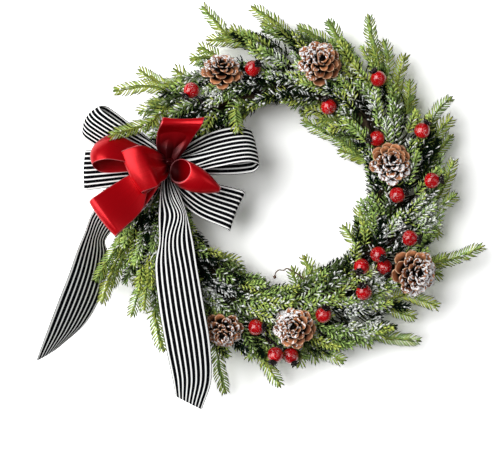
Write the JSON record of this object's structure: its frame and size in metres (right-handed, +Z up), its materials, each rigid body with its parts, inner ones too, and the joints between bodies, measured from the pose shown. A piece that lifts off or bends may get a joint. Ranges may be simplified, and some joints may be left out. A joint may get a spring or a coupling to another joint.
{
  "type": "grapevine wreath",
  "caption": "Wall wreath: a twisted grapevine ring dressed with frosted pine sprigs, pine cones and red berries, with a striped ribbon bow and a red satin bow at one side.",
  "frame": {"origin": "the hanging point: where the ring's inner top rests on a nail, on the wall plane", "axes": "+X to the right as seen from the front, +Y into the wall (the wreath faces -Y), +Z up"},
  "size_m": [0.5287, 0.1048, 0.4729],
  "materials": {
    "dried_vine": "dried grapevine bark, matte",
    "pine_green": "moulded needles with white flock, matte",
    "cone_scale": "natural cone scales with white frosting",
    "berry_red": "glossy with fine white frosting",
    "tie_wire": "green lacquered florist wire",
    "striped_ribbon": "woven ribbon, black stripes on white",
    "red_satin": "single-faced satin, shiny"
  },
  "bodies": {
    "root": {"vine_cane_1": "dried_vine", "vine_cane_2": "dried_vine", "vine_cane_3": "dried_vine", "vine_cane_4": "dried_vine", "vine_cane_5": "dried_vine", "vine_cane_6": "dried_vine", "pine_pick_01": "pine_green", "pine_pick_02": "pine_green", "pine_pick_03": "pine_green", "pine_pick_04": "pine_green", "pine_pick_05": "pine_green", "pine_pick_06": "pine_green", "pine_pick_07": "pine_green", "pine_pick_08": "pine_green", "pine_pick_09": "pine_green", "pine_pick_10": "pine_green", "pine_pick_11": "pine_green", "pine_pick_12": "pine_green", "pine_pick_13": "pine_green", "pine_pick_14": "pine_green", "pine_pick_15": "pine_green", "pine_pick_16": "pine_green", "pine_pick_17": "pine_green", "pine_pick_18": "pine_green", "pine_pick_19": "pine_green", "pine_pick_20": "pine_green", "pine_pick_21": "pine_green", "pine_pick_22": "pine_green", "pine_pick_23": "pine_green", "pine_pick_24": "pine_green", "pine_pick_25": "pine_green", "pine_pick_26": "pine_green", "pine_cone_1": "cone_scale", "pine_cone_2": "cone_scale", "pine_cone_3": "cone_scale", "pine_cone_4": "cone_scale", "pine_cone_5": "cone_scale", "pine_cone_6": "cone_scale", "berry_pick_01": "berry_red", "berry_pick_02": "berry_red", "berry_pick_03": "berry_red", "berry_pick_04": "berry_red", "berry_pick_05": "berry_red", "berry_pick_06": "berry_red", "berry_pick_07": "berry_red", "berry_pick_08": "berry_red", "berry_pick_09": "berry_red", "berry_pick_10": "berry_red", "berry_pick_11": "berry_red", "berry_pick_12": "berry_red", "berry_pick_13": "berry_red", "berry_pick_14": "berry_red", "vine_tendril": "dried_vine", "bow_tie_wire": "tie_wire", "striped_bow": "striped_ribbon", "red_bow": "red_satin"}
  },
  "joints": []
}
